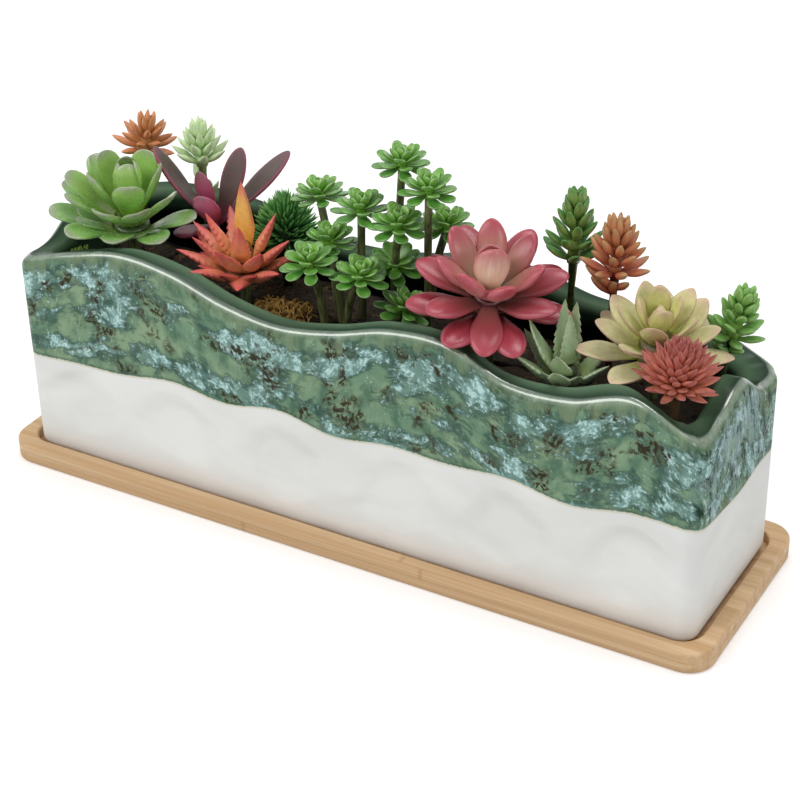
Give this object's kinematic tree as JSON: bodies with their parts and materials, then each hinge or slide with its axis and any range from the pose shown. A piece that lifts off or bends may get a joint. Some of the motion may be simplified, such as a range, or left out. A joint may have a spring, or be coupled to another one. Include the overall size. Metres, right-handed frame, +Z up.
{
  "type": "rectangular planter",
  "caption": "Long rectangular glazed stoneware planter with a wavy rim, seated in a bamboo tray and planted with moulded succulents that lift out.",
  "frame": {"origin": "middle of the tray's underside, where it stands on a surface", "axes": "+X along the planter's length, +Y across it from the front to the back, +Z up"},
  "size_m": [0.3176, 0.0946, 0.1527],
  "materials": {
    "bamboo": "satin",
    "glaze": "gloss above, satin below",
    "soil": "loose bark and peat",
    "moss_brown": "fibrous",
    "moss_green": "fibrous",
    "pick_stem": "satin",
    "green_rosette": "satin",
    "orange_aloe": "satin",
    "orange_spike": "satin",
    "pink_echeveria": "satin",
    "pale_aloe": "satin",
    "cream_rosette": "satin",
    "rust_sedum": "satin",
    "mint_sedum": "satin",
    "green_sedum": "satin",
    "coral_sedum": "satin",
    "red_ball": "satin",
    "bright_sedum": "satin",
    "needle_cushion": "satin",
    "jade": "satin",
    "purple_paddles": "satin"
  },
  "bodies": {
    "tray": {"tray_base_ply": "bamboo", "tray_rim_ply": "bamboo"},
    "pot": {"ceramic_pot": "glaze"},
    "planting": {"growing_medium": "soil", "moss_front": "moss_brown", "moss_left": "moss_brown", "moss_corner": "moss_green", "green_rosette_stem": "pick_stem", "green_rosette_whorl_1": "green_rosette", "green_rosette_whorl_2": "green_rosette", "green_rosette_whorl_3": "green_rosette", "green_rosette_heart": "green_rosette", "orange_aloe_stem": "pick_stem", "orange_aloe_whorl_1": "orange_aloe", "orange_aloe_whorl_2": "orange_aloe", "orange_aloe_whorl_3": "orange_aloe", "orange_aloe_heart": "orange_spike", "pink_echeveria_stem": "pick_stem", "pink_echeveria_whorl_1": "pink_echeveria", "pink_echeveria_whorl_2": "pink_echeveria", "pink_echeveria_whorl_3": "pink_echeveria", "pink_echeveria_heart": "pink_echeveria", "pale_aloe_stem": "pick_stem", "pale_aloe_whorl_1": "pale_aloe", "pale_aloe_whorl_2": "pale_aloe", "pale_aloe_heart": "pale_aloe", "cream_rosette_stem": "pick_stem", "cream_rosette_whorl_1": "cream_rosette", "cream_rosette_whorl_2": "cream_rosette", "cream_rosette_whorl_3": "cream_rosette", "cream_rosette_heart": "cream_rosette", "rust_sedum": "rust_sedum", "mint_sedum": "mint_sedum", "green_sedum": "green_sedum", "coral_sedum": "coral_sedum", "red_ball": "red_ball", "bright_sedum": "bright_sedum", "needle_cushion": "needle_cushion", "jade_sprig_1": "jade", "jade_sprig_2": "jade", "jade_sprig_3": "jade", "jade_sprig_4": "jade", "jade_sprig_5": "jade", "jade_sprig_6": "jade", "jade_sprig_7": "jade", "jade_sprig_8": "jade", "jade_sprig_9": "jade", "jade_sprig_10": "jade", "purple_paddles": "purple_paddles"}
  },
  "joints": [
    {"name": "pot_lift", "type": "slide", "parent": "tray", "child": "pot", "axis": [0, 0, 1], "range_m": [0, 0.04]},
    {"name": "planting_lift", "type": "slide", "parent": "pot", "child": "planting", "axis": [0, 0, 1], "range_m": [0, 0.1]}
  ]
}
